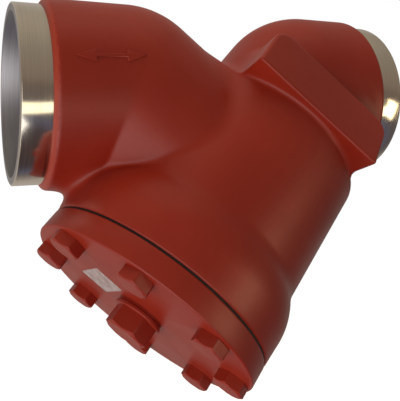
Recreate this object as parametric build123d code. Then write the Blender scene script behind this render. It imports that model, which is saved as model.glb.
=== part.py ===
from build123d import *
import math
import os

# Straightway strainer for a DN 125 refrigeration line, in millimetres.
# Origin: centre of the outlet weld face. +X runs along the pipe line to the inlet, +Z is up.
# The strainer branch leaves the pipe line downwards and back towards the outlet.

# Pipe line and weld ends
pipe_diameter = 139.7
pipe_wall = 6.3
weld_land = 5.1
weld_bevel_angle = 30.0
weld_ring_length = 21.0
body_length = 325.0
machined_depth = 40.0

# Cast ducts
duct_wall = 11.0
machining_allowance = 1.55
shoulder_length = 3.0
branch_angle = 45.0
branch_station = 257.0
outlet_bend_station = 88.0

# Distances along the branch axis from the pipe axis
block_top = 18.0
block_step = 67.0

# Lengths along the branch at its cover end; the cover stands clear of the outlet duct
cover_reach = 71.7
hub_length = 69.0
swell_length = 19.0

# Block round the basket seat: flat sides, and flanks that spread towards the step
block_inset = 14.55
block_ledge = 8.0
flank_spread = 0.3
block_corner = 14.0
block_edge = 2.5

# Filter chamber and cover flange, as steps outwards from the cast bore
seat_ledge = 4.5
chamber_room = 12.5
chamber_wall = 9.5
bolt_margin = 15.0
flange_margin = 14.25
hub_proud = 1.5
hub_corner = 8.0
chamber_roof = 12.0
seat_lip = 2.0
seat_depth = 9.0
edge_break = 1.5

# Cover, gasket and bolts
cover_thickness = 17.0
gasket_thickness = 1.5
gasket_inset = 1.2
bolt_count = 8
bolt_diameter = 14.0
bolt_head_flats = 22.0
bolt_head_height = 8.8
bolt_length = 45.0
bolt_hole_clearance = 0.5
thread_clearance = 0.05
bolt_hole_spare_depth = 5.0
bolt_chamfer_angle = 30.0
spigot_height = 6.0
spigot_clearance = 0.6

# Drain plug and its sealing ring
plug_thread_diameter = 26.4
plug_flats = 32.0
plug_head_height = 15.0
plug_collar_diameter = 39.0
plug_collar_height = 3.0
plug_thread_length = 17.0
seal_ring_thickness = 2.0
seal_ring_diameter = 37.0
seal_ring_clearance = 0.08

# Strainer basket
seat_ring_clearance = 0.5
seat_ring_height = 8.0
socket_height = 6.0
socket_wall = 2.0
basket_clearance = 0.05
basket_gap = 8.5
support_thickness = 1.5
cloth_thickness = 0.6
end_cap_rim = 6.0
end_cap_plate = 3.0
window_width = 14.0
window_rows = 4
windows_per_row = 12
window_margin = 22.0
window_overcut = 2.0

# Basket spring and pull handle
spring_wire = 4.0
spring_inset = 16.0
spring_height = 18.0
spring_turns = 3
wire_sides = 8
spring_gap = 0.3
handle_wire = 4.0
handle_width = 40.0
handle_height = 13.0
handle_bend = 5.0

# Values worked out from the sizes above
pipe_radius = pipe_diameter / 2
bore_radius = pipe_radius - pipe_wall
land_radius = bore_radius + weld_land
bevel_length = (pipe_radius - land_radius) * math.tan(math.radians(weld_bevel_angle))
duct_radius = bore_radius + duct_wall
cast_radius = bore_radius - machining_allowance
branch_tilt = math.radians(branch_angle)
outlet_drop_station = (branch_station - outlet_bend_station) / (2 * math.cos(branch_tilt))
hub_bore_radius = cast_radius + seat_ledge
cavity_radius = hub_bore_radius + chamber_room
chamber_radius = cavity_radius + chamber_wall
bolt_circle_radius = hub_bore_radius + bolt_margin
flange_radius = bolt_circle_radius + flange_margin
hub_radius = flange_radius + hub_proud
cover_face = duct_radius + flange_radius + cover_reach
cover_inner_face = cover_face - cover_thickness
flange_face = cover_inner_face - gasket_thickness
hub_start = cover_face - hub_length
hub_crest = hub_start + swell_length
block_half_width = duct_radius - block_inset
block_half_depth = chamber_radius + block_ledge
seat_face = block_step + seat_lip
seat_end = seat_face + seat_depth
spigot_face = cover_inner_face - spigot_height
spring_seat = spigot_face - spring_gap - spring_height
support_radius = hub_bore_radius - basket_gap
support_start = seat_face + seat_ring_height
support_end = spring_seat - end_cap_plate

# The branch frame: local Z along the branch, local X up towards the valley, local Y as +Y
branch = Plane(
    origin=(branch_station, 0, 0),
    x_dir=(-math.sin(branch_tilt), 0, math.cos(branch_tilt)),
    z_dir=(-math.cos(branch_tilt), 0, -math.sin(branch_tilt)),
)
# The outlet drop runs square to the branch, from the outlet bend down into the chamber
outlet_drop = Plane(
    origin=(outlet_bend_station, 0, 0),
    x_dir=(math.sin(branch_tilt), 0, math.cos(branch_tilt)),
    z_dir=(math.cos(branch_tilt), 0, -math.sin(branch_tilt)),
)
pipe = Plane(origin=(0, 0, 0), x_dir=(0, 1, 0), z_dir=(1, 0, 0))


def lathe(outline):
    """Solid of revolution about local Z from (radius, height) points."""
    face = make_face(Polyline([(r, 0, z) for r, z in outline], close=True))
    return revolve(face, Axis.Z)


def rod(radius, low, high):
    """Cylinder on local Z between two heights."""
    return Pos(0, 0, low) * Cylinder(radius, high - low, align=(Align.CENTER, Align.CENTER, Align.MIN))


def tube(outer, inner, low, high):
    """Hollow cylinder on local Z between two heights."""
    return rod(outer, low, high) - rod(inner, low, high)


def hexagon_prism(flats, low, high):
    """Hexagonal prism on local Z, its corners turned down by a cone at the outer end."""
    prism = Pos(0, 0, low) * extrude(RegularPolygon(flats / 2, 6, major_radius=False), high - low)
    corner = flats / math.sqrt(3)
    drop = (corner - flats / 2) * math.tan(math.radians(bolt_chamfer_angle))
    cone = lathe([(0, low), (corner, low), (corner, high - drop), (flats / 2, high), (0, high)])
    return prism & cone


def bolt_places():
    """Places on the bolt circle, straddling the branch's own plane of symmetry."""
    return PolarLocations(bolt_circle_radius, bolt_count, start_angle=180 / bolt_count)


def weld_end():
    """Machined weld ring and painted shoulder, from the end face inwards."""
    return lathe([
        (0, 0),
        (land_radius, 0),
        (pipe_radius, bevel_length),
        (pipe_radius, weld_ring_length),
        (duct_radius, weld_ring_length + shoulder_length),
        (0, weld_ring_length + shoulder_length),
    ])


def seat_block():
    """Block round the basket seat: its outline seen from the flank, cut by the two spreading flanks."""
    w = block_half_width
    corners = [(-w, 0, block_top), (w, 0, block_top), (w, 0, block_step), (-w, 0, block_step)]
    outline = make_face(Polyline(corners, close=True))
    outline = fillet(outline.vertices().group_by(Axis.Z)[0], block_corner)
    slab = extrude(outline, block_half_depth, both=True)
    d = block_half_depth
    top = d - flank_spread * (block_step - block_top)
    section = make_face(Polyline(
        [(0, -top, block_top), (0, top, block_top), (0, d, block_step), (0, -d, block_step)], close=True))
    block = slab & extrude(section, w, both=True)
    flanks = [face for face in block.faces() if abs(face.normal_at().Y) > 0.9]
    return fillet(ShapeList(edge for flank in flanks for edge in flank.edges()), block_edge)


def chamber_outside():
    """Filter chamber that swells to the hub of the cover flange, all corners of the swell rounded."""
    outline = make_face(Polyline([
        (0, 0, block_step),
        (chamber_radius, 0, block_step),
        (chamber_radius, 0, hub_start),
        (hub_radius, 0, hub_crest),
        (flange_radius, 0, flange_face - edge_break),
        (flange_radius - edge_break, 0, flange_face),
        (0, 0, flange_face),
    ], close=True))
    swell = [corner for corner in outline.vertices() if hub_start <= corner.Z <= hub_crest]
    return revolve(fillet(swell, hub_corner), Axis.Z)


def bend_outside(station, side):
    """Round outside of a bend: the half ball that closes the end of a straight duct."""
    return Pos(station, 0, 0) * Rot(0, 90 * side, 0) * Sphere(duct_radius, arc_size1=0, align=None)


def housing_outside():
    end_run = weld_ring_length + shoulder_length
    outlet_duct = pipe * rod(duct_radius, end_run, outlet_bend_station)
    inlet_duct = pipe * rod(duct_radius, branch_station, body_length - end_run)
    outlet_weld = pipe * weld_end()
    inlet_weld = pipe * Pos(0, 0, body_length) * Rot(180, 0, 0) * weld_end()
    outlet_bend = bend_outside(outlet_bend_station, 1)
    inlet_bend = bend_outside(branch_station, -1)
    drop = outlet_drop * rod(duct_radius, 0, outlet_drop_station)
    neck = branch * rod(duct_radius, 0, block_step + chamber_roof)
    body = branch * chamber_outside()
    for piece in (drop, neck, branch * seat_block(), outlet_bend, inlet_bend):
        body += piece
    for piece in (outlet_duct, inlet_duct, outlet_weld, inlet_weld):
        body += piece
    return body


def bent_passage(corner, run_start, run, fall):
    """Cast passage that turns at a corner: a run along the pipe line and a fall, mitred together."""
    mitre = Plane(origin=corner.origin, z_dir=run + corner.z_dir)
    reach = abs(corner.origin.X - run_start) + cast_radius
    start = Plane(origin=(run_start, 0, 0), x_dir=(0, 1, 0), z_dir=run)
    straight = split(start * rod(cast_radius, 0, reach), bisect_by=mitre, keep=Keep.BOTTOM)
    falling = split(corner * rod(cast_radius, -cast_radius, fall), bisect_by=mitre, keep=Keep.TOP)
    return straight, falling


def housing_passages():
    """Everything that is hollow: the two ducts, the basket seat and the chamber."""
    inwards = Vector(1, 0, 0)
    outlet = bent_passage(outlet_drop, 0, inwards, outlet_drop_station)
    inlet = bent_passage(branch, body_length, -inwards, seat_face)
    outlet_bore = pipe * rod(bore_radius, 0, machined_depth)
    inlet_bore = pipe * rod(bore_radius, body_length - machined_depth, body_length)
    cavity = branch * lathe([
        (0, seat_end),
        (hub_bore_radius, seat_end),
        (cavity_radius, seat_end + chamber_wall),
        (cavity_radius, hub_start - chamber_wall),
        (hub_bore_radius, hub_start),
        (hub_bore_radius, flange_face),
        (0, flange_face),
    ])
    seat = branch * rod(hub_bore_radius, seat_face, seat_end)
    return cavity, seat, *outlet, *inlet, outlet_bore, inlet_bore


def bolt_reach():
    """How far a bolt goes into the housing's flange."""
    return bolt_length - cover_thickness - gasket_thickness


def housing():
    body = housing_outside()
    for hollow in housing_passages():
        body -= hollow
    radius = bolt_diameter / 2 + thread_clearance
    depth = bolt_reach() + bolt_hole_spare_depth
    holes = [place * rod(radius, flange_face - depth, flange_face) for place in bolt_places()]
    for hole in holes:
        body -= branch * hole
    return body


def cover():
    """Round cover with its locating spigot, bolt holes and drain hole."""
    plate = lathe([
        (0, spigot_face),
        (hub_bore_radius - spigot_clearance, spigot_face),
        (hub_bore_radius - spigot_clearance, cover_inner_face),
        (flange_radius - edge_break, cover_inner_face),
        (flange_radius, cover_inner_face + edge_break),
        (flange_radius, cover_face - edge_break),
        (flange_radius - edge_break, cover_face),
        (0, cover_face),
    ])
    plate -= rod(plug_thread_diameter / 2 + thread_clearance, spigot_face, cover_face)
    hole = rod(bolt_diameter / 2 + bolt_hole_clearance, cover_inner_face, cover_face)
    return plate - [place * hole for place in bolt_places()]


def cover_gasket():
    """Flat gasket between flange and cover, cut with the same bolt holes."""
    ring = tube(flange_radius - gasket_inset, hub_bore_radius, flange_face, cover_inner_face)
    hole = rod(bolt_diameter / 2 + bolt_hole_clearance, flange_face, cover_inner_face)
    return ring - [place * hole for place in bolt_places()]


def cover_bolt():
    """Hexagon bolt, its head seated on the cover; the thread is left plain."""
    head = hexagon_prism(bolt_head_flats, cover_face, cover_face + bolt_head_height)
    tip = cover_face - bolt_length
    radius = bolt_diameter / 2
    point = radius / 8
    shank = lathe([
        (0, tip),
        (radius - point, tip),
        (radius, tip + point),
        (radius, cover_face),
        (0, cover_face),
    ])
    return head + shank


def drain_plug():
    """Hexagon plug with a collar that bears on its sealing ring."""
    seat = cover_face + seal_ring_thickness
    head_low = seat + plug_collar_height
    head = hexagon_prism(plug_flats, head_low, head_low + plug_head_height)
    radius = plug_thread_diameter / 2
    tip = cover_face - plug_thread_length
    body = lathe([
        (0, tip),
        (radius - edge_break, tip),
        (radius, tip + edge_break),
        (radius, seat),
        (plug_collar_diameter / 2, seat),
        (plug_collar_diameter / 2, head_low),
        (0, head_low),
    ])
    return head + body


def plug_seal_ring():
    inner = plug_thread_diameter / 2 + seal_ring_clearance
    return tube(seal_ring_diameter / 2, inner, cover_face, cover_face + seal_ring_thickness)


def seat_ring():
    """Ring that closes the open end of the basket on the housing's seat, with a socket for the tube."""
    outer = hub_bore_radius - seat_ring_clearance
    socket = support_radius + basket_clearance
    opening = support_radius - support_thickness
    return lathe([
        (opening, seat_face),
        (outer, seat_face),
        (outer, support_start),
        (socket + socket_wall, support_start),
        (socket + socket_wall, support_start + socket_height),
        (socket, support_start + socket_height),
        (socket, support_start),
        (opening, support_start),
    ])


def support_tube():
    """Stainless tube with staggered rows of square windows, which carries the filter cloth."""
    wall = tube(support_radius, support_radius - support_thickness, support_start, support_end)
    first = support_start + window_margin
    row_pitch = (support_end - support_start - 2 * window_margin) / (window_rows - 1)
    across = Box(2 * support_radius + window_overcut, window_width, window_width)
    drills = []
    for row in range(window_rows):
        for step in range(windows_per_row // 2):
            turn = (step + 0.5 * (row % 2)) * 360 / windows_per_row
            drills.append(Pos(0, 0, first + row * row_pitch) * Rot(0, 0, turn) * across)
    return wall - drills


def filter_cloth():
    """Sleeve of fine wire cloth inside the support tube."""
    outer = support_radius - support_thickness - basket_clearance
    return tube(outer, outer - cloth_thickness, seat_face, support_end)


def end_cap():
    """Closed end of the basket, with a rim that grips the support tube."""
    socket = support_radius + basket_clearance
    return lathe([
        (0, support_end),
        (socket, support_end),
        (socket, support_end - end_cap_rim),
        (socket + socket_wall, support_end - end_cap_rim),
        (socket + socket_wall, spring_seat),
        (0, spring_seat),
    ])


def basket_spring():
    """Compression spring that holds the basket on its seat, at its working height."""
    radius = support_radius - spring_inset - spring_wire / 2
    rise = spring_height - spring_wire
    path = Pos(0, 0, spring_seat + spring_wire / 2) * Helix(rise / spring_turns, rise, radius)
    section = Plane(origin=path @ 0, z_dir=path % 0) * RegularPolygon(spring_wire / 2, wire_sides)
    return sweep(section, path=path)


def pull_handle():
    """Bent wire handle on the end cap, inside the spring."""
    half = handle_width / 2
    top = spring_seat + handle_height
    corners = [(0, -half, spring_seat), (0, -half, top), (0, half, top), (0, half, spring_seat)]
    path = FilletPolyline(*corners, radius=handle_bend)
    section = Plane(origin=path @ 0, z_dir=path % 0) * RegularPolygon(handle_wire / 2, wire_sides)
    return sweep(section, path=path)


def branch_pieces():
    """Every piece that is modelled along the branch, by its name."""
    pieces = {
        "cover": cover(),
        "cover_gasket": cover_gasket(),
        "drain_plug": drain_plug(),
        "plug_seal_ring": plug_seal_ring(),
        "seat_ring": seat_ring(),
        "support_tube": support_tube(),
        "filter_cloth": filter_cloth(),
        "end_cap": end_cap(),
        "basket_spring": basket_spring(),
        "pull_handle": pull_handle(),
    }
    bolt = cover_bolt()
    for number, place in enumerate(bolt_places(), start=1):
        pieces[f"cover_bolt_{number}"] = place * bolt
    return pieces


def main():
    os.makedirs("parts", exist_ok=True)
    export_step(housing(), "parts/housing.step")
    for name, piece in branch_pieces().items():
        export_step(branch * piece, f"parts/{name}.step")


main()
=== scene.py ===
import math

import bmesh
import bpy
import numpy as np
import openvdb
from mathutils import Matrix, Vector


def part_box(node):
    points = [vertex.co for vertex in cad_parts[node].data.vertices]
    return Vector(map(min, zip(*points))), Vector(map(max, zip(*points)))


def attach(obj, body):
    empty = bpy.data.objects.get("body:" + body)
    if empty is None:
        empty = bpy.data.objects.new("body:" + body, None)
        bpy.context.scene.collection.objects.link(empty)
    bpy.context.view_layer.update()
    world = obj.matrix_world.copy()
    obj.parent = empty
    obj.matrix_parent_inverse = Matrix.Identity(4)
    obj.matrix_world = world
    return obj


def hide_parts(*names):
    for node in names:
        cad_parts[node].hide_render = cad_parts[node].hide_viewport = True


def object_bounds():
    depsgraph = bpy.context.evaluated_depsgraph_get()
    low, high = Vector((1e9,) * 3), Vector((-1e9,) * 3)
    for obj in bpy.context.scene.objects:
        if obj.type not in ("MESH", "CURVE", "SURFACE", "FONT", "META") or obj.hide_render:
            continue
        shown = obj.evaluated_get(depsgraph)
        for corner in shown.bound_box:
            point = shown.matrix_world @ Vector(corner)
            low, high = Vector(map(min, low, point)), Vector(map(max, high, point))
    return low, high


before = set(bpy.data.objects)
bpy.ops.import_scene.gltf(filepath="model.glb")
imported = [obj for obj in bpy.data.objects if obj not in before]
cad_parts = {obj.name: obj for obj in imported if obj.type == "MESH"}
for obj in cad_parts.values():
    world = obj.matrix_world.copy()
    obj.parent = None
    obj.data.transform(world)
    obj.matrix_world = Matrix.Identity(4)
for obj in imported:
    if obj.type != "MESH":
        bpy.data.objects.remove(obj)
cad_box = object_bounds()

MM = 0.001

# Length that the frame gives
BODY_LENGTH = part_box("housing")[1].x

# Sizes of the casting, as in the construction model
BORE_RADIUS = 63.55 * MM
PIPE_RADIUS = 69.85 * MM
WELD_LAND = 5.1 * MM
BEVEL_LENGTH = 0.69 * MM
RING_LENGTH = 21 * MM
SHOULDER_LENGTH = 3 * MM
DUCT_RADIUS = 74.55 * MM
CAST_RADIUS = 62 * MM
MACHINED_DEPTH = 40 * MM
OUTLET_BEND = 88 * MM
BRANCH_STATION = 257 * MM
BLOCK_TOP = 18 * MM
BLOCK_STEP = 67 * MM
BLOCK_HALF_WIDTH = 60 * MM
BLOCK_HALF_DEPTH = 96.5 * MM
BLOCK_CORNER = 14 * MM
FLANK_SPREAD = 0.3
SEAT_FACE = 69 * MM
SEAT_END = 78 * MM
CHAMBER_RADIUS = 88.5 * MM
CAVITY_RADIUS = 79 * MM
HUB_START = 173 * MM
HUB_CREST = 192 * MM
HUB_BORE = 66.5 * MM
HUB_RADIUS = 97.25 * MM
FLANGE_RADIUS = 95.75 * MM
FLANGE_FACE = 223.5 * MM

# Sizes of the cover, the bolts and the plug
COVER_INNER = 225 * MM
COVER_FACE = 242 * MM
SPIGOT_FACE = COVER_INNER - 6 * MM
SPIGOT_RADIUS = HUB_BORE - 0.6 * MM
BOLT_CIRCLE = 81.5 * MM
BOLT_COUNT = 8
BOLT_RADIUS = 7 * MM
BOLT_FLATS = 22 * MM
BOLT_HEAD = 8.8 * MM
BOLT_LENGTH = 45 * MM
BOLT_PITCH = 2 * MM
HOLE_RADIUS = 7.5 * MM
HOLE_DEPTH = 31.5 * MM
PLUG_SEAT = 2 * MM
PLUG_COLLAR = 3 * MM
PLUG_COLLAR_RADIUS = 19.5 * MM
PLUG_FLATS = 32 * MM
PLUG_HEAD = 15 * MM
PLUG_THREAD_RADIUS = 13.2 * MM
PLUG_THREAD_LENGTH = 17 * MM
PLUG_PITCH = 1.814 * MM
PLUG_HOLE = 13.25 * MM

# Sizes of the basket's pieces
SPRING_SEAT = 200.7 * MM
SPRING_WIRE = 4 * MM
SPRING_RADIUS = 40 * MM
SPRING_RISE = 14 * MM
SPRING_TURNS = 3
HANDLE_HALF = 20 * MM
HANDLE_HEIGHT = 13 * MM
HANDLE_BEND = 5 * MM
CLOTH_PITCH = 1.0 * MM
CLOTH_WIRES = 360

# Sizes that only the visual model has
SEAM = 0.05 * MM
SLEEVE = 1.5 * MM
FLANGE_RING = 5 * MM
RING_LAP = 0.4 * MM
HOLE_CLEARANCE = 1 * MM
SMOOTH_ANGLE = 40

# Fillets and soft edges of the casting
EDGE_ROUND = 2.5 * MM
OUTLET_FILLET = 1 * MM
BEND_FILLET = 12 * MM
BEND_FILLET_REACH = 40 * MM
BLOCK_FILLET = 7 * MM
SWELL_EDGE = 6 * MM
HUB_FILLET = 2.2 * MM
CHAMBER_EDGE = 2 * MM
CHAMBER_FILLET = 4 * MM
VALLEY_FILLET = 3.5 * MM
VALLEY_FILLET_ABOVE = 12 * MM
VALLEY_FILLET_OUTLET = 16 * MM
SHOULDER_EDGE = 2 * MM
END_EDGE = 1.5 * MM
CAVITY_FILLET = 6 * MM
OUTLET_MOUTH_FILLET = 8 * MM

# Grid that the casting's surface is drawn from
VOXEL = 1.5 * MM
GRID_BLOCK = 8
GRID_BATCH = 600
GRID_REACH = 1.6
SURFACE_PASSES = 3

HUB_TAPER = (HUB_RADIUS - FLANGE_RADIUS) / (FLANGE_FACE - HUB_CREST)
BOLT_SECTOR = 2 * math.pi / BOLT_COUNT

DIAGONAL = math.sqrt(0.5)
BRANCH_AXIS = Vector((-DIAGONAL, 0, -DIAGONAL))
BRANCH_SIDE = Vector((-DIAGONAL, 0, DIAGONAL))
BRANCH = Matrix((
    (BRANCH_SIDE.x, 0, BRANCH_AXIS.x, BRANCH_STATION),
    (0, 1, 0, 0),
    (BRANCH_SIDE.z, 0, BRANCH_AXIS.z, 0),
    (0, 0, 0, 1),
))
DROP_LENGTH = (BRANCH_STATION - OUTLET_BEND) * DIAGONAL

# The inner corner of a bend, halfway between the pipe and the fall: along the pipe and down
CORNER_ALONG = 0.383
CORNER_DOWN = 0.924

# Camera: the photograph's angle, found from the rims of the weld ends and the cover
PHOTO_HEIGHT = 401
CAMERA_AZIMUTH = -0.4472
CAMERA_ELEVATION = -0.2873
CAMERA_ROLL = -0.1422
CAMERA_DISTANCE = 7.0506 * PIPE_RADIUS
CAMERA_TARGET = Vector((2.2368 * PIPE_RADIUS, 0, -0.3671 * PIPE_RADIUS))
FOCAL_PIXELS = 569.65
CENTRE_ROW = 125
SENSOR = 36


def new_object(name, data):
    made = bpy.data.objects.new(name, data)
    bpy.context.scene.collection.objects.link(made)
    return made


def make_camera():
    cam = new_object("camera", bpy.data.cameras.new("camera"))
    level = math.cos(CAMERA_ELEVATION)
    back = Vector((
        math.sin(CAMERA_AZIMUTH) * level,
        -math.cos(CAMERA_AZIMUTH) * level,
        math.sin(CAMERA_ELEVATION),
    ))
    right = (-back).cross(Vector((0, 0, 1))).normalized()
    up = right.cross(-back)
    turn = Matrix.Rotation(CAMERA_ROLL, 3, back)
    right, up = turn @ right, turn @ up
    place = Matrix((right, up, back)).transposed().to_4x4()
    place.translation = CAMERA_TARGET + back * CAMERA_DISTANCE
    cam.matrix_world = place
    cam.data.sensor_width = SENSOR
    cam.data.lens = FOCAL_PIXELS * SENSOR / PHOTO_HEIGHT
    cam.data.shift_y = (CENTRE_ROW - PHOTO_HEIGHT / 2) / PHOTO_HEIGHT
    cam.data.clip_start = 0.01
    bpy.context.scene.camera = cam


# Distance fields, in metres, negative inside
def rod_field(radial, along, radius, low, high):
    side = radial - radius
    end = np.maximum(low - along, along - high)
    return np.minimum(np.maximum(side, end), 0) + np.hypot(np.maximum(side, 0), np.maximum(end, 0))


def blend_union(a, b, size):
    """Union with a fillet about as large as size."""
    h = np.maximum(size - np.abs(a - b), 0) / size
    return np.minimum(a, b) - h * h * size / 4


def blend_cut(a, b, size):
    """Intersection with an edge rounded by about size."""
    return -blend_union(-a, -b, size)


def along_branch(p):
    """Coordinates in the branch's own frame: side, depth, distance and radius."""
    x = p[:, 0] - BRANCH_STATION
    side = -DIAGONAL * x + DIAGONAL * p[:, 2]
    along = -DIAGONAL * x - DIAGONAL * p[:, 2]
    return side, p[:, 1], along, np.hypot(side, p[:, 1])


def along_drop(p):
    """Coordinates along the outlet drop: distance and radius."""
    x = p[:, 0] - OUTLET_BEND
    along = DIAGONAL * x - DIAGONAL * p[:, 2]
    side = DIAGONAL * x + DIAGONAL * p[:, 2]
    return along, np.hypot(side, p[:, 1])


def ramp_up(value, low, high):
    """0 below low, 1 above high, a smooth rise between."""
    h = np.clip((value - low) / (high - low), 0, 1)
    return h * h * (3 - 2 * h)


def block_field(side, depth, along):
    """Block round the basket seat: rounded outline, spreading flanks and soft edges."""
    across = np.abs(side) - (BLOCK_HALF_WIDTH - BLOCK_CORNER)
    above = BLOCK_TOP + BLOCK_CORNER - along
    outline = np.hypot(np.maximum(across, 0), np.maximum(above, 0))
    outline += np.minimum(np.maximum(across, above), 0) - BLOCK_CORNER
    reach = BLOCK_HALF_DEPTH - FLANK_SPREAD * (BLOCK_STEP - along)
    flank = (np.abs(depth) - reach) / math.hypot(1, FLANK_SPREAD)
    block = blend_cut(outline, flank, EDGE_ROUND * 1.3)
    return blend_cut(block, along - BLOCK_STEP, EDGE_ROUND * 1.1)


def bend_field(pipe_radial, station, duct, fall, p, corner_side, radius, fillet):
    """Duct, fall and round outside of one bend; only the inner corner gets the fillet."""
    ball = np.sqrt(pipe_radial ** 2 + (p[:, 0] - station) ** 2) - radius
    inner = (p[:, 0] - station) * corner_side * CORNER_ALONG - p[:, 2] * CORNER_DOWN
    share = ramp_up(inner, 0, BEND_FILLET_REACH)
    joined = np.minimum(duct, fall)
    soft = blend_union(duct, fall, fillet)
    return np.minimum(joined + (soft - joined) * share, ball)


def outer_field(p):
    """The cast outside, with its fillets."""
    pipe_radial = np.hypot(p[:, 1], p[:, 2])
    side, depth, along, radial = along_branch(p)
    drop_along, drop_radial = along_drop(p)
    duct = rod_field(pipe_radial, p[:, 0], DUCT_RADIUS, 0, OUTLET_BEND)
    drop = rod_field(drop_radial, drop_along, DUCT_RADIUS, 0, DROP_LENGTH)
    outlet = bend_field(pipe_radial, OUTLET_BEND, duct, drop, p, -1, DUCT_RADIUS, OUTLET_FILLET)
    duct = rod_field(pipe_radial, p[:, 0], DUCT_RADIUS, BRANCH_STATION, BODY_LENGTH)
    neck = rod_field(radial, along, DUCT_RADIUS, 0, BLOCK_STEP + 10 * MM)
    inlet = bend_field(pipe_radial, BRANCH_STATION, duct, neck, p, 1, DUCT_RADIUS, BEND_FILLET)
    inlet = blend_union(inlet, block_field(side, depth, along), BLOCK_FILLET)

    chamber = radial - CHAMBER_RADIUS
    hub = radial - HUB_RADIUS + (along - HUB_CREST) * HUB_TAPER
    slope = (HUB_RADIUS - CHAMBER_RADIUS) / (HUB_CREST - HUB_START)
    swell = (radial - CHAMBER_RADIUS - (along - HUB_START) * slope) / math.hypot(1, slope)
    hub = blend_cut(hub, swell, SWELL_EDGE)
    body = blend_union(chamber, hub, HUB_FILLET)
    body = blend_cut(body, BLOCK_STEP - along, CHAMBER_EDGE)
    body = blend_union(body, inlet, CHAMBER_FILLET)
    valley = VALLEY_FILLET + VALLEY_FILLET_ABOVE * ramp_up(p[:, 2], -30 * MM, 10 * MM)
    valley += VALLEY_FILLET_OUTLET * ramp_up(-p[:, 0], -75 * MM, -25 * MM)
    body = blend_union(body, outlet, valley)
    from_end = np.minimum(p[:, 0], BODY_LENGTH - p[:, 0]) - RING_LENGTH
    rise = (DUCT_RADIUS - PIPE_RADIUS) / SHOULDER_LENGTH
    shoulder = (pipe_radial - PIPE_RADIUS - from_end * rise) / math.hypot(1, rise)
    near_end = from_end < SHOULDER_LENGTH * 2
    body = np.where(near_end, blend_cut(body, shoulder, SHOULDER_EDGE), body)
    body = blend_cut(body, -from_end, END_EDGE)
    return np.maximum(body, along - FLANGE_FACE + FLANGE_RING * 0.6)


def passage_field(p):
    """The hollow way through the casting."""
    pipe_radial = np.hypot(p[:, 1], p[:, 2])
    side, depth, along, radial = along_branch(p)
    drop_along, drop_radial = along_drop(p)
    far = 100 * MM
    bore = BORE_RADIUS + SLEEVE / 2
    bores = np.minimum(
        rod_field(pipe_radial, p[:, 0], bore, -far, MACHINED_DEPTH),
        rod_field(pipe_radial, p[:, 0], bore, BODY_LENGTH - MACHINED_DEPTH, BODY_LENGTH + far),
    )
    duct = rod_field(pipe_radial, p[:, 0], CAST_RADIUS, -far, OUTLET_BEND)
    drop = rod_field(drop_radial, drop_along, CAST_RADIUS, 0, DROP_LENGTH)
    outlet = bend_field(pipe_radial, OUTLET_BEND, duct, drop, p, -1, CAST_RADIUS, BEND_FILLET)
    duct = rod_field(pipe_radial, p[:, 0], CAST_RADIUS, BRANCH_STATION, BODY_LENGTH + far)
    neck = rod_field(radial, along, CAST_RADIUS, 0, SEAT_FACE + 1 * MM)
    inlet = bend_field(pipe_radial, BRANCH_STATION, duct, neck, p, 1, CAST_RADIUS, BEND_FILLET)
    seat = rod_field(radial, along, HUB_BORE, SEAT_FACE, FLANGE_FACE + far)
    cavity = rod_field(radial, along, CAVITY_RADIUS, SEAT_END, HUB_START)
    hub = rod_field(radial, along, HUB_BORE, SEAT_END, HUB_START)
    cavity = blend_union(cavity, hub, CAVITY_FILLET)
    cavity = blend_union(cavity, outlet, OUTLET_MOUTH_FILLET)
    turn = np.mod(np.arctan2(depth, side), BOLT_SECTOR) - BOLT_SECTOR / 2
    square = radial ** 2 + BOLT_CIRCLE ** 2 - 2 * radial * BOLT_CIRCLE * np.cos(turn)
    from_bolt = np.sqrt(np.maximum(square, 0))
    hole = BOLT_RADIUS + HOLE_CLEARANCE
    holes = rod_field(from_bolt, along, hole, FLANGE_FACE - HOLE_DEPTH, FLANGE_FACE + far)
    return np.minimum.reduce((cavity, inlet, seat, bores, holes))


def casting_field(p):
    return np.maximum(outer_field(p), -passage_field(p))


def field_slope(field, p, step=0.2 * MM):
    slope = np.empty_like(p)
    for axis in range(3):
        offset = np.zeros(3)
        offset[axis] = step
        slope[:, axis] = (field(p + offset) - field(p - offset)) / (2 * step)
    return slope


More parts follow.
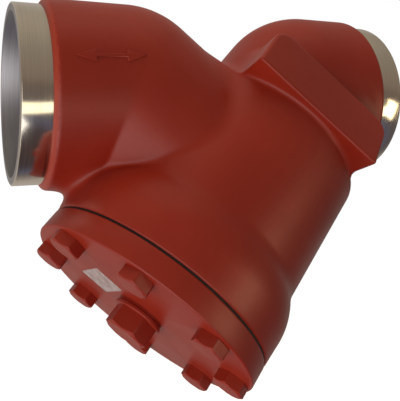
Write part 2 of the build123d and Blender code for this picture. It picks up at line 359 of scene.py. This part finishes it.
def surface_of(name, field, low, high, step):
    """A mesh of the field's zero surface, its points drawn onto the true surface."""
    low = np.array(low)
    size = step * GRID_BLOCK
    counts = np.ceil((np.array(high) - low) / size).astype(int)
    index = np.stack(np.meshgrid(*[np.arange(n) for n in counts], indexing="ij"), -1).reshape(-1, 3)
    middle = field(low + (index + 0.5) * size)
    background = 3 * step
    grid = (np.sign(middle) * background).reshape(counts).astype(np.float32)
    for axis in range(3):
        grid = np.repeat(grid, GRID_BLOCK, axis)
    near = np.abs(middle) < size * GRID_REACH
    inner = np.stack(np.meshgrid(*[np.arange(GRID_BLOCK)] * 3, indexing="ij"), -1).reshape(-1, 3)
    for start in range(0, near.sum(), GRID_BATCH):
        chosen = index[near][start:start + GRID_BATCH]
        cells = (chosen[:, None, :] * GRID_BLOCK + inner[None]).reshape(-1, 3)
        values = np.clip(field(low + cells * step), -background, background)
        grid[cells[:, 0], cells[:, 1], cells[:, 2]] = values
    volume = openvdb.FloatGrid(background)
    volume.copyFromArray(grid)
    points, quads = volume.convertToQuads()
    points = low + points.astype(float) * step
    for _ in range(SURFACE_PASSES):
        slope = field_slope(field, points)
        length = np.maximum((slope ** 2).sum(1), 0.05)
        move = field(points) / length
        points -= np.clip(move, -step, step)[:, None] * slope
    normals = field_slope(field, points)
    normals /= np.maximum(np.linalg.norm(normals, axis=1, keepdims=True), 1e-9)
    mesh = bpy.data.meshes.new(name)
    mesh.from_pydata(points.tolist(), [], quads.tolist())
    first = mesh.polygons[0]
    if Vector(first.normal).dot(Vector(normals[first.vertices[0]])) < 0:
        mesh.flip_normals()
    mesh.shade_smooth()
    mesh.normals_split_custom_set_from_vertices(normals.tolist())
    return new_object(name, mesh)


# Shapes of pieces
def rounded(points, radius, steps=4):
    """The outline with each corner between its two ends rounded by radius."""
    result = [points[0]]
    for before, corner, after in zip(points, points[1:], points[2:]):
        a, c, b = Vector(before), Vector(corner), Vector(after)
        u, v = (a - c), (b - c)
        half = u.angle(v) / 2
        reach = min(radius / math.tan(half), 0.45 * min(u.length, v.length))
        u.normalize()
        v.normalize()
        r = reach * math.tan(half)
        centre = c + (u + v).normalized() * (r / math.sin(half))
        start, end = c + u * reach - centre, c + v * reach - centre
        for i in range(steps + 1):
            ray = start.lerp(end, i / steps)
            result.append(tuple(centre + ray.normalized() * r))
    result.append(points[-1])
    return result


def ring_of(bm, segments, point_at):
    """Ring of corners; point_at(share of a turn, angle) gives the radius and height of each."""
    ring = []
    for i in range(segments):
        turn = 2 * math.pi * i / segments
        radius, height = point_at(i / segments, turn)
        ring.append(bm.verts.new((radius * math.cos(turn), radius * math.sin(turn), height)))
    return ring


def skin(bm, rings):
    """Faces between rings of the same length, and a lid on both ends."""
    for lower, upper in zip(rings, rings[1:]):
        for i in range(len(lower)):
            j = (i + 1) % len(lower)
            bm.faces.new((lower[i], lower[j], upper[j], upper[i]))
    bm.faces.new(list(reversed(rings[0])))
    bm.faces.new(rings[-1])


def lathe(name, outline, place, segments=128, closed=False):
    """Turned piece: the outline's (radius, height) points swept round the local Z axis."""
    bm = bmesh.new()
    rings = []
    for point in outline:
        if point[0] < 1e-7:
            rings.append([bm.verts.new((0, 0, point[1]))])
        else:
            rings.append(ring_of(bm, segments, lambda share, turn: point))
    pairs = list(zip(rings, rings[1:]))
    if closed:
        pairs.append((rings[-1], rings[0]))
    for lower, upper in pairs:
        for i in range(segments):
            j = (i + 1) % segments
            corners = [lower[k % len(lower)] for k in (i, j)] + [upper[k % len(upper)] for k in (j, i)]
            face = list(dict.fromkeys(corners))
            if len(face) > 2:
                bm.faces.new(face)
    bmesh.ops.recalc_face_normals(bm, faces=bm.faces)
    bm.transform(place)
    return mesh_object(name, bm)


def mesh_object(name, bm, smooth_angle=SMOOTH_ANGLE):
    mesh = bpy.data.meshes.new(name)
    bm.to_mesh(mesh)
    bm.free()
    mesh.shade_smooth()
    mesh.set_sharp_from_angle(angle=math.radians(smooth_angle))
    return new_object(name, mesh)


def evaluated_mesh(obj):
    bpy.context.view_layer.update()
    graph = bpy.context.evaluated_depsgraph_get()
    return bpy.data.meshes.new_from_object(obj.evaluated_get(graph))


def cut(piece, *tools):
    """Takes the tools' shapes out of the piece."""
    for tool in tools:
        change = piece.modifiers.new("cut", "BOOLEAN")
        change.operation = "DIFFERENCE"
        change.object = tool
        change.solver = "EXACT"
        mesh = evaluated_mesh(piece)
        piece.modifiers.clear()
        piece.data = mesh
        bpy.data.objects.remove(tool)
    piece.data.shade_smooth()
    piece.data.set_sharp_from_angle(angle=math.radians(SMOOTH_ANGLE))


def drill(radius, low, high, place):
    """Tool for a hole along the branch."""
    return lathe("drill", [(0, low), (radius, low), (radius, high), (0, high)], place, 64)


def threaded_rod(name, radius, low, high, pitch, place, segments=48):
    """Shank with a helical thread and a chamfered tip."""
    depth = 0.61 * pitch
    rows_per_turn = 8
    rows = round((high - low) / pitch * rows_per_turn)
    bm = bmesh.new()
    rings = []
    for k in range(rows + 1):
        z = low + (high - low) * k / rows

        def point_at(share, turn):
            phase = (z / pitch - share) % 1
            flank = radius - depth * min(1, 1.15 * abs(2 * phase - 1))
            return min(flank, radius - depth * 1.1 + (z - low)), z

        rings.append(ring_of(bm, segments, point_at))
    skin(bm, rings)
    bm.transform(place)
    return mesh_object(name, bm, 50)


def wire(name, points, thickness, place):
    """Round wire along the points, closed at both ends."""
    curve = bpy.data.curves.new(name, "CURVE")
    curve.dimensions = "3D"
    curve.bevel_depth = thickness / 2
    curve.bevel_resolution = 5
    curve.use_fill_caps = True
    spline = curve.splines.new("POLY")
    spline.points.add(len(points) - 1)
    for point, place_of in zip(spline.points, points):
        point.co = (*place_of, 1)
    rod = new_object(name, curve)
    mesh = evaluated_mesh(rod)
    bpy.data.objects.remove(rod)
    mesh.transform(place)
    mesh.shade_smooth()
    mesh.set_sharp_from_angle(angle=math.radians(50))
    return new_object(name, mesh)


def raised_shape(name, outline, depth, height, wrap):
    """Raised shape with a soft rim, its outline laid on a surface by wrap(u, v, height)."""
    bm = bmesh.new()
    levels = ((-depth, 0), (height * 0.55, 0), (height * 0.9, 0.35), (height, 0.8))
    count = len(outline)
    rings = []
    for level, inset in levels:
        ring = []
        for k, point in enumerate(outline):
            before, after = Vector(outline[k - 1]), Vector(outline[(k + 1) % count])
            here = Vector(point)
            a, b = (here - before).normalized(), (after - here).normalized()
            normal = Vector((-(a + b).y, (a + b).x)).normalized()
            stretch = max(0.35, normal.dot(Vector((-a.y, a.x))))
            inner = here + normal * (inset * height / stretch)
            ring.append(bm.verts.new(wrap(inner.x, inner.y, level)))
        rings.append(ring)
    skin(bm, rings)
    bmesh.ops.recalc_face_normals(bm, faces=bm.faces)
    return mesh_object(name, bm, 60)


def hexagon_head(name, flats, low, high, place):
    """Hexagon head: flats with a soft edge, the top corners turned down by a cone."""
    segments = 96
    rows = 10
    corner = flats / math.sqrt(3) * 0.985
    top_radius = flats / 2 * 0.93
    cone = math.tan(math.radians(30))
    sharpness = 60

    def radius_at(turn):
        sector = (turn + math.pi / 6) % (math.pi / 3) - math.pi / 6
        flat = flats / 2 / math.cos(sector)
        return (flat ** -sharpness + corner ** -sharpness) ** (-1 / sharpness)

    def top_at(radius):
        return high - max(0, radius - top_radius) * cone

    bm = bmesh.new()
    rings = []
    for k in range(rows + 1):

        def side_at(share, turn):
            radius = radius_at(turn)
            return radius, low + (top_at(radius) - low) * (k / rows)

        rings.append(ring_of(bm, segments, side_at))
    for inset in (0.97, 0.90, 0.8, 0.4):

        def crown_at(share, turn):
            radius = min(radius_at(turn), top_radius / 0.9) * inset
            return radius, top_at(radius)

        rings.append(ring_of(bm, segments, crown_at))
    skin(bm, rings)
    bmesh.ops.recalc_face_normals(bm, faces=bm.faces)
    bm.transform(place)
    return mesh_object(name, bm, 25)


def bolt_place(number):
    turn = BOLT_SECTOR * (number + 0.5)
    return BRANCH @ Matrix.Translation((BOLT_CIRCLE * math.cos(turn), BOLT_CIRCLE * math.sin(turn), 0))


def bolt_drills(radius, low, high):
    return [drill(radius, low, high, bolt_place(number)) for number in range(BOLT_COUNT)]


def face_centres(mesh):
    centres = np.empty(len(mesh.polygons) * 3)
    mesh.polygons.foreach_get("center", centres)
    return centres.reshape(-1, 3)


def join(name, pieces):
    bpy.ops.object.select_all(action="DESELECT")
    for piece in pieces:
        piece.select_set(True)
    bpy.context.view_layer.objects.active = pieces[0]
    bpy.ops.object.join()
    bpy.ops.object.select_all(action="DESELECT")
    pieces[0].name = name
    return pieces[0]


# Materials
MIX_SHARE, MIX_FIRST, MIX_SECOND = 0, 6, 7
MIX_RESULT = 2


def new_material(name, roughness, metallic=0.0):
    material = bpy.data.materials.new(name)
    material.use_nodes = True
    shader = material.node_tree.nodes["Principled BSDF"]
    shader.inputs["Roughness"].default_value = roughness
    shader.inputs["Metallic"].default_value = metallic
    return material, shader


def noise(tree, scale, detail=2.0, rough=0.5, vector=None):
    made = tree.nodes.new("ShaderNodeTexNoise")
    made.inputs["Scale"].default_value = scale
    made.inputs["Detail"].default_value = detail
    made.inputs["Roughness"].default_value = rough
    if vector is None:
        vector = tree.nodes.new("ShaderNodeTexCoord").outputs["Object"]
    tree.links.new(vector, made.inputs["Vector"])
    return made.outputs["Fac"]


def ramp(tree, factor, *stops):
    made = tree.nodes.new("ShaderNodeValToRGB")
    elements = made.color_ramp.elements
    while len(elements) < len(stops):
        elements.new(0.5)
    for element, (place, colour) in zip(elements, stops):
        element.position = place
        element.color = (*colour, 1)
    tree.links.new(factor, made.inputs["Fac"])
    return made.outputs["Color"]


def bump(tree, height, strength, distance, below=None):
    made = tree.nodes.new("ShaderNodeBump")
    made.inputs["Strength"].default_value = strength
    made.inputs["Distance"].default_value = distance
    tree.links.new(height, made.inputs["Height"])
    if below is not None:
        tree.links.new(below, made.inputs["Normal"])
    return made.outputs["Normal"]


def spread(tree, factor, low, high):
    """The factor's 0 to 1 stretched to low to high."""
    made = tree.nodes.new("ShaderNodeMapRange")
    made.inputs["To Min"].default_value = low
    made.inputs["To Max"].default_value = high
    tree.links.new(factor, made.inputs["Value"])
    return made.outputs["Result"]


def soft_step(tree, factor, low, high):
    """0 below low, 1 above high, a smooth rise between."""
    made = tree.nodes.new("ShaderNodeMapRange")
    made.interpolation_type = "SMOOTHSTEP"
    made.inputs["From Min"].default_value = low
    made.inputs["From Max"].default_value = high
    tree.links.new(factor, made.inputs["Value"])
    return made.outputs["Result"]


def mix(tree, share, first, second):
    """Colour between a first socket and a second colour."""
    made = tree.nodes.new("ShaderNodeMix")
    made.data_type = "RGBA"
    tree.links.new(share, made.inputs[MIX_SHARE])
    tree.links.new(first, made.inputs[MIX_FIRST])
    made.inputs[MIX_SECOND].default_value = (*second, 1)
    return made.outputs[MIX_RESULT]


def red_paint(name="red_paint", grain=1.0, pale=0.0):
    """Satin enamel over a cast or turned surface; grain coarsens it and pale lightens it, which paints a
    highlight.
    """
    material, shader = new_material(name, 0.42)
    shader.inputs["Specular IOR Level"].default_value = 0.42
    tree = material.node_tree
    broad = noise(tree, 14, 3)
    low = [0.30 + 0.12 * pale, 0.018 + 0.035 * pale, 0.0063 + 0.022 * pale]
    high = [0.36 + 0.12 * pale, 0.0255 + 0.035 * pale, 0.0090 + 0.022 * pale]
    colour = ramp(tree, broad, (0.3, low), (0.7, high))
    tree.links.new(colour, shader.inputs["Base Color"])
    cast = bump(tree, noise(tree, 120, 4, 0.6), 0.16 * grain, 0.3 * MM)
    peel = bump(tree, noise(tree, 420, 2), 0.10 * grain, 0.12 * MM, cast)
    tree.links.new(peel, shader.inputs["Normal"])
    tree.links.new(spread(tree, noise(tree, 40, 3), 0.34, 0.46), shader.inputs["Roughness"])
    return material


def turned_steel(name="turned_steel", axis_scale=(900, 8, 8), low=(0.46, 0.41, 0.35),
                 high=(0.56, 0.52, 0.46), anisotropy=0.0, polish=(0.22, 0.34), marks=0.18):
    """Machined steel with fine tool marks; with anisotropy, turned about the pipe's axis."""
    material, shader = new_material(name, 0.3, 1.0)
    tree = material.node_tree
    if anisotropy:
        shader.inputs["Anisotropic"].default_value = anisotropy
        shader.inputs["Anisotropic Rotation"].default_value = 0.25
        tangent = tree.nodes.new("ShaderNodeTangent")
        tangent.direction_type = "RADIAL"
        tangent.axis = "X"
        tree.links.new(tangent.outputs["Tangent"], shader.inputs["Tangent"])
    coordinates = tree.nodes.new("ShaderNodeTexCoord")
    mapping = tree.nodes.new("ShaderNodeMapping")
    mapping.inputs["Scale"].default_value = axis_scale
    tree.links.new(coordinates.outputs["Object"], mapping.inputs["Vector"])
    lines = noise(tree, 1.5, 3, 0.6, mapping.outputs["Vector"])
    colour = ramp(tree, lines, (0.3, low), (0.7, high))
    tree.links.new(colour, shader.inputs["Base Color"])
    tree.links.new(bump(tree, lines, marks, 0.05 * MM), shader.inputs["Normal"])
    tree.links.new(spread(tree, lines, *polish), shader.inputs["Roughness"])
    return material


def cast_steel():
    material, shader = new_material("bare_cast", 0.55, 0.85)
    tree = material.node_tree
    colour = ramp(tree, noise(tree, 60, 4, 0.6), (0.3, (0.16, 0.13, 0.11)), (0.7, (0.27, 0.24, 0.21)))
    tree.links.new(colour, shader.inputs["Base Color"])
    rough_skin = bump(tree, noise(tree, 220, 4, 0.6), 0.4, 0.4 * MM)
    tree.links.new(rough_skin, shader.inputs["Normal"])
    return material


def gasket_sheet():
    material, shader = new_material("gasket_sheet", 0.8)
    tree = material.node_tree
    colour = ramp(tree, noise(tree, 300, 3), (0.3, (0.006, 0.005, 0.005)), (0.7, (0.018, 0.014, 0.012)))
    tree.links.new(colour, shader.inputs["Base Color"])
    return material


def branch_sockets(tree):
    """Side, depth and distance along the branch as sockets."""
    place = tree.nodes.new("ShaderNodeTexCoord").outputs["Object"]
    shifted = tree.nodes.new("ShaderNodeVectorMath")
    shifted.operation = "SUBTRACT"
    shifted.inputs[1].default_value = (BRANCH_STATION, 0, 0)
    tree.links.new(place, shifted.inputs[0])
    sockets = []
    for axis in (BRANCH_SIDE, Vector((0, 1, 0)), BRANCH_AXIS):
        product = tree.nodes.new("ShaderNodeVectorMath")
        product.operation = "DOT_PRODUCT"
        product.inputs[1].default_value = axis
        tree.links.new(shifted.outputs[0], product.inputs[0])
        sockets.append(product.outputs["Value"])
    return sockets


def arithmetic(tree, operation, *values):
    made = tree.nodes.new("ShaderNodeMath")
    made.operation = operation
    for socket, value in zip(made.inputs, values):
        if isinstance(value, (int, float)):
            socket.default_value = value
        else:
            tree.links.new(value, socket)
    return made.outputs[0]


def wire_cloth():
    """Woven wire: sines round the sleeve and along it, in place of single wires."""
    material, shader = new_material("wire_cloth", 0.42, 1.0)
    tree = material.node_tree
    side, depth, along = branch_sockets(tree)
    turn = arithmetic(tree, "ARCTAN2", depth, side)
    across = arithmetic(tree, "SINE", arithmetic(tree, "MULTIPLY", turn, CLOTH_WIRES))
    length = arithmetic(tree, "SINE", arithmetic(tree, "MULTIPLY", along, 2 * math.pi / CLOTH_PITCH))
    weave = arithmetic(tree, "MULTIPLY_ADD", arithmetic(tree, "MULTIPLY", across, length), 0.5, 0.5)
    # The weave runs nearly black where the wires pass under each other: painted shade between the wires.
    colour = ramp(tree, weave, (0.15, (0.035, 0.032, 0.030)), (0.75, (0.42, 0.40, 0.36)))
    tree.links.new(colour, shader.inputs["Base Color"])
    tree.links.new(bump(tree, weave, 0.6, 0.2 * MM), shader.inputs["Normal"])
    return material


def blank_label():
    """Pale stock with nothing on it, a little dirty."""
    material, shader = new_material("blank_label", 0.5)
    tree = material.node_tree
    colour = ramp(tree, noise(tree, 160, 4, 0.7), (0.35, (0.40, 0.27, 0.25)), (0.65, (0.62, 0.52, 0.50)))
    tree.links.new(colour, shader.inputs["Base Color"])
    tree.links.new(bump(tree, noise(tree, 300, 2), 0.15, 0.1 * MM), shader.inputs["Normal"])
    return material


def give(piece, *materials):
    piece.data.materials.clear()
    for material in materials:
        piece.data.materials.append(material)


# Light and floor. The room's colours run from straight down to straight up; the wall stands behind.
ROOM = (
    (0.0, (0.06, 0.043, 0.043)),
    (0.06, (0.06, 0.049, 0.056)),
    (0.12, (0.10, 0.10, 0.15)),
    (0.18, (0.105, 0.092, 0.10)),
    (0.42, (0.16, 0.125, 0.105)),
    (0.50, (0.22, 0.175, 0.145)),
    (0.80, (0.27, 0.235, 0.19)),
    (1.0, (0.36, 0.32, 0.26)),
)
BACKDROP = (0.42, 0.38, 0.34)
WHITE = (1, 1, 1)

# The floor stands this far below the part, so that pieces moved down stay in sight
POSE_ROOM = 0.26
FLOOR_SIZE = 12


def make_floor():
    floor_height = cad_box[0].z - POSE_ROOM
    bpy.ops.mesh.primitive_plane_add(size=FLOOR_SIZE, location=(0, 0, floor_height))
    floor = bpy.context.object
    floor.name = "floor"
    material, shader = new_material("floor", 1.0)
    shader.inputs["Base Color"].default_value = (0.8, 0.8, 0.8, 1)
    shader.inputs["Specular IOR Level"].default_value = 0
    shader.inputs["Emission Color"].default_value = (*WHITE, 1)
    shader.inputs["Emission Strength"].default_value = 0.8
    give(floor, material)
    floor.visible_shadow = False
    floor.visible_glossy = False
    floor.visible_diffuse = False


def make_room():
    """World light: the room's colours and the wall for the part, plain white for the camera."""
    world = bpy.data.worlds.new("studio")
    world.use_nodes = True
    tree = world.node_tree
    background = tree.nodes["Background"]
    background.inputs["Strength"].default_value = 1.0
    coordinates = tree.nodes.new("ShaderNodeTexCoord")
    parts = tree.nodes.new("ShaderNodeSeparateXYZ")
    tree.links.new(coordinates.outputs["Generated"], parts.inputs["Vector"])
    height = tree.nodes.new("ShaderNodeMapRange")
    height.inputs["From Min"].default_value = -1
    tree.links.new(parts.outputs["Z"], height.inputs["Value"])
    behind = soft_step(tree, parts.outputs["Y"], 0.1, 0.7)
    above = soft_step(tree, parts.outputs["Z"], -0.8, -0.3)
    share = arithmetic(tree, "MULTIPLY", behind, above)
    room = mix(tree, share, ramp(tree, height.outputs["Result"], *ROOM), BACKDROP)
    seen = tree.nodes.new("ShaderNodeLightPath").outputs["Is Camera Ray"]
    tree.links.new(mix(tree, seen, room, WHITE), background.inputs["Color"])
    bpy.context.scene.world = world


def area_light(name, place, target, size, power, colour, mirrored=False, lights_paint=True):
    light = bpy.data.lights.new(name, "AREA")
    light.shape = "RECTANGLE"
    light.size, light.size_y = size
    light.energy = power
    light.color = colour
    lamp = new_object(name, light)
    lamp.location = place
    lamp.rotation_euler = (target - place).to_track_quat("-Z", "Y").to_euler()
    lamp.visible_camera = False
    lamp.visible_glossy = mirrored
    lamp.visible_diffuse = lights_paint


def make_lights():
    """Two lamps that light the part, and two that it only mirrors."""
    middle = Vector((0.15, 0, -0.08))
    area_light("overhead", middle + Vector((0.1, -0.3, 1.4)), middle,
               (1.4, 1.2), 10, (1.0, 0.95, 0.80))
    area_light("low_left", middle + Vector((-1.0, -0.5, -0.75)), middle,
               (1.8, 1.8), 16, (1.0, 0.97, 0.94), True)
    area_light("window", middle + Vector((0.68, -0.62, -0.38)) * 1.5, middle,
               (0.5, 0.5), 2.8, (1.0, 0.84, 0.52), True, False)
    area_light("strip", middle + Vector((0.3, -1.245, -0.84)), middle + Vector((0.3, 0, 0)),
               (1.8, 0.36), 3.2, (1.0, 0.93, 0.68), True, False)


RED = red_paint("red_paint", 0.7)
CAST_RED = red_paint("cast_red", 1.8)
# Paler copy of the paint for the shoulder next to each weld end: a painted highlight where the shoulder
# catches the light.
RIM_HIGHLIGHT = red_paint("red_rim_highlight", 0.5, 0.6)
STEEL = turned_steel()
RING_STEEL = turned_steel("ring_steel", low=(0.76, 0.68, 0.58), high=(0.88, 0.82, 0.72),
                          anisotropy=0.6, polish=(0.13, 0.18), marks=0.05)
ZINC = turned_steel("bolt_steel", (60, 60, 60), (0.30, 0.30, 0.31), (0.52, 0.52, 0.52))
# Darker, bluish copy of the turned steel for the bore and the end's land: painted shade inside the bore, with
# a rougher finish.
SHADED_BORE_STEEL = turned_steel("bore_steel_shaded", low=(0.36, 0.35, 0.37), high=(0.47, 0.46, 0.49),
                          polish=(0.42, 0.52), marks=0.08)
STAINLESS = turned_steel("stainless", (40, 700, 40), (0.44, 0.43, 0.42), (0.60, 0.59, 0.57))
SPRING = turned_steel("spring_steel", (300, 300, 300), (0.16, 0.155, 0.15), (0.30, 0.29, 0.28))
CLOTH = wire_cloth()
CAST = cast_steel()
GASKET = gasket_sheet()
LABEL = blank_label()


def make_casting():
    low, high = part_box("housing")
    margin = 4 * MM
    piece = surface_of(
        "housing_casting",
        casting_field,
        [c - margin for c in low],
        [c + margin for c in high],
        VOXEL,
    )
    give(piece, CAST_RED, CAST, STEEL, RIM_HIGHLIGHT)
    painted, cast, machined, rim = range(4)
    centres = face_centres(piece.data)
    side, depth, along, radial = along_branch(centres)
    hollow = np.abs(passage_field(centres)) < np.abs(outer_field(centres))
    pipe_radial = np.hypot(centres[:, 1], centres[:, 2])
    from_end = np.minimum(centres[:, 0], BODY_LENGTH - centres[:, 0]) - RING_LENGTH
    turned = (along > HUB_START + 2 * MM) | ((pipe_radial > PIPE_RADIUS) & (along < SEAT_END))
    # The last few millimetres of paint by each weld end take the paler paint, a painted highlight.
    outside = np.where(from_end < 3.4 * MM, rim, painted)
    inside = np.where(turned, machined, cast)
    slot = np.where(hollow, inside, outside).astype(np.int32)
    piece.data.polygons.foreach_set("material_index", slot)
    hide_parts("housing")
    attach(piece, "housing")


def make_weld_ring(name, place):
    """Bare end of the pipe, with a thin sleeve that lines the machined bore."""
    end = MACHINED_DEPTH + 0.3 * MM
    outline = rounded([
        (BORE_RADIUS, end),
        (BORE_RADIUS, 0),
        (BORE_RADIUS + WELD_LAND, 0),
        (PIPE_RADIUS, BEVEL_LENGTH),
        (PIPE_RADIUS, RING_LENGTH + RING_LAP),
        (BORE_RADIUS + SLEEVE, RING_LENGTH + RING_LAP),
        (BORE_RADIUS + SLEEVE, end),
    ], 0.25 * MM, 2)
    piece = lathe(name, outline, place, 192, True)
    give(piece, RING_STEEL, SHADED_BORE_STEEL)
    # The bore, the sleeve and the flat land of the end take the darker steel: painted shade.
    centres = face_centres(piece.data)
    inside = np.hypot(centres[:, 1], centres[:, 2]) < BORE_RADIUS + WELD_LAND
    piece.data.polygons.foreach_set("material_index", inside.astype(np.int32))
    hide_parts("housing")
    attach(piece, "housing")


def paint_by(piece, choose):
    """Gives each face its material slot by its place on the branch."""
    chosen = choose(*along_branch(face_centres(piece.data)))
    piece.data.polygons.foreach_set("material_index", chosen.astype(np.int32))


def make_flange_ring():
    """Machined face of the housing's flange, with the bolt holes."""
    low = FLANGE_FACE - FLANGE_RING
    hub = HUB_RADIUS - (low - HUB_CREST) * HUB_TAPER + SEAM
    outline = rounded([
        (HUB_BORE - SEAM, low),
        (HUB_BORE - SEAM, FLANGE_FACE),
        (FLANGE_RADIUS, FLANGE_FACE),
        (hub, low),
    ], 1.3 * MM, 4)
    piece = lathe("flange_face", outline, BRANCH, 256, True)
    cut(piece, *bolt_drills(BOLT_RADIUS + SEAM, low - 5 * MM, FLANGE_FACE + 5 * MM))
    give(piece, STEEL, RED)
    paint_by(piece, lambda side, depth, along, radial: np.where(radial > FLANGE_RADIUS - 1.2 * MM, 1, 0))
    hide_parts("housing")
    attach(piece, "housing")


def make_arrow():
    """Raised double-ended flow arrow on the outlet duct."""
    tip, base, half, shaft = 25.6 * MM, 11 * MM, 5 * MM, 1.3 * MM
    right = [(base, -half), (tip, 0), (base, half), (base, shaft)]
    left = [(-base, shaft), (-base, half), (-tip, 0), (-base, -half), (-base, -shaft)]
    outline = [(base, -shaft)] + right + left
    lean = math.radians(2)

    def wrap(u, v, height):
        x = 61.3 * MM + u * math.cos(lean) - v * math.sin(lean)
        turn = (1.5 * MM + u * math.sin(lean) + v * math.cos(lean)) / DUCT_RADIUS
        r = DUCT_RADIUS + height
        return (x, -r * math.cos(turn), r * math.sin(turn))

    piece = raised_shape("flow_arrow", outline, 0.8 * MM, 1.0 * MM, wrap)
    give(piece, RED)
    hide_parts("housing")
    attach(piece, "housing")


def make_label():
    """Blank label on the cover."""
    half_side, half_depth, corner = 12.5 * MM, 19 * MM, 1.5 * MM
    outline = []
    for k, (a, b) in enumerate(((1, 1), (-1, 1), (-1, -1), (1, -1))):
        for step in range(5):
            turn = math.radians(90 * k + 22.5 * step)
            outline.append((a * (half_side - corner) + corner * math.cos(turn),
                            b * (half_depth - corner) + corner * math.sin(turn)))
    lean = math.radians(-4)

    def wrap(u, v, height):
        side = 37 * MM + u * math.cos(lean) - v * math.sin(lean)
        depth = 3 * MM + u * math.sin(lean) + v * math.cos(lean)
        return BRANCH @ Vector((side, depth, COVER_FACE + height))

    piece = raised_shape("label", outline, 0.2 * MM, 0.35 * MM, wrap)
    give(piece, LABEL)
    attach(piece, "cover")


def make_spring_and_handle():
    steps = SPRING_TURNS * 72
    points = []
    for k in range(steps + 1):
        turn = 2 * math.pi * SPRING_TURNS * k / steps
        height = SPRING_SEAT + SPRING_WIRE / 2 + SPRING_RISE * k / steps
        points.append((SPRING_RADIUS * math.cos(turn), SPRING_RADIUS * math.sin(turn), height))
    spring = wire("spring", points, SPRING_WIRE, BRANCH)
    give(spring, SPRING)
    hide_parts("basket_spring")
    steps = 8
    bend_depth = HANDLE_HALF - HANDLE_BEND
    bend_height = SPRING_SEAT + HANDLE_HEIGHT - HANDLE_BEND
    corner = []
    for step in range(steps + 1):
        turn = math.radians(90 * step / steps)
        corner.append((bend_depth + HANDLE_BEND * math.cos(turn), bend_height + HANDLE_BEND * math.sin(turn)))
    points = [(0, -HANDLE_HALF, SPRING_SEAT)]
    points += [(0, -depth, height) for depth, height in corner]
    points += [(0, depth, height) for depth, height in reversed(corner)]
    points.append((0, HANDLE_HALF, SPRING_SEAT))
    handle = wire("handle", points, SPRING_WIRE, BRANCH)
    give(handle, STAINLESS)
    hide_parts("pull_handle")
    for piece, slot in ((spring, "spring_steel"), (handle, "stainless_steel")):
        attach(piece, "basket")


def make_cover():
    outline = [
        (0, SPIGOT_FACE),
        (SPIGOT_RADIUS, SPIGOT_FACE),
        (SPIGOT_RADIUS, COVER_INNER),
        (FLANGE_RADIUS, COVER_INNER),
        (FLANGE_RADIUS, COVER_FACE),
        (0, COVER_FACE),
    ]
    piece = lathe("cover_plate", rounded(outline, 1.4 * MM, 4), BRANCH, 256)
    low, high = COVER_INNER - 10 * MM, COVER_FACE + 5 * MM
    cut(piece, *bolt_drills(HOLE_RADIUS, low, high), drill(PLUG_HOLE, low, high, BRANCH))
    give(piece, RED, STEEL)

    def bare(side, depth, along, radial):
        under = (along < COVER_INNER + 0.1 * MM) & (radial < FLANGE_RADIUS - 2 * MM)
        return np.where(under | (radial < PLUG_HOLE + SEAM), 1, 0)

    paint_by(piece, bare)
    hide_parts("cover")
    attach(piece, "cover")


# How far each tightened bolt is turned, in degrees
BOLT_TURNS = (12, -8, 20, 5, -15, 9, 17, -4)


def make_bolts():
    tip, top = COVER_FACE - BOLT_LENGTH, COVER_FACE + 1 * MM
    for number, turn in enumerate(BOLT_TURNS):
        place = bolt_place(number) @ Matrix.Rotation(math.radians(turn), 4, "Z")
        name = f"bolt_{number + 1}"
        head = hexagon_head(name, BOLT_FLATS, COVER_FACE, COVER_FACE + BOLT_HEAD, place)
        shank = threaded_rod(name + "_shank", BOLT_RADIUS - SEAM, tip, top, BOLT_PITCH, place)
        give(head, RED)
        give(shank, ZINC)
        piece = join(name, [head, shank])
        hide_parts(f"cover_bolt_{number + 1}")
        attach(piece, "bolts")


def make_plug():
    seat = COVER_FACE + PLUG_SEAT
    low = seat + PLUG_COLLAR
    crown = low + 0.6 * MM
    tip, top = COVER_FACE - PLUG_THREAD_LENGTH, seat + 0.5 * MM
    head = hexagon_head("plug", PLUG_FLATS, low, low + PLUG_HEAD, BRANCH)
    collar = lathe("plug_collar", rounded([
        (0, seat),
        (PLUG_COLLAR_RADIUS, seat),
        (PLUG_COLLAR_RADIUS, low),
        (PLUG_FLATS / 2 - 1 * MM, crown),
        (0, crown),
    ], 0.8 * MM), BRANCH, 96)
    thread = threaded_rod("plug_thread", PLUG_THREAD_RADIUS - SEAM, tip, top, PLUG_PITCH, BRANCH, 96)
    give(head, RED)
    give(collar, RED)
    give(thread, ZINC)
    piece = join("drain_plug_visible", [head, collar, thread])
    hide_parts("drain_plug")
    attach(piece, "plug")


bpy.context.scene.view_settings.view_transform = "Standard"
make_camera()
make_floor()
make_room()
make_lights()
make_casting()
make_weld_ring("outlet_ring", Matrix.Rotation(math.pi / 2, 4, "Y"))
inlet_end = Matrix.Translation((BODY_LENGTH, 0, 0)) @ Matrix.Rotation(-math.pi / 2, 4, "Y")
make_weld_ring("inlet_ring", inlet_end)
make_flange_ring()
make_arrow()
make_cover()
make_label()
make_bolts()
make_plug()
make_spring_and_handle()

# Pieces that the construction model already shows as they are
NODE_MATERIALS = {
    "cover_gasket": GASKET,
    "plug_seal_ring": RED,
    "seat_ring": STEEL,
    "support_tube": STAINLESS,
    "filter_cloth": CLOTH,
    "end_cap": STAINLESS,
}
for name, material in NODE_MATERIALS.items():
    give(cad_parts[name], material)
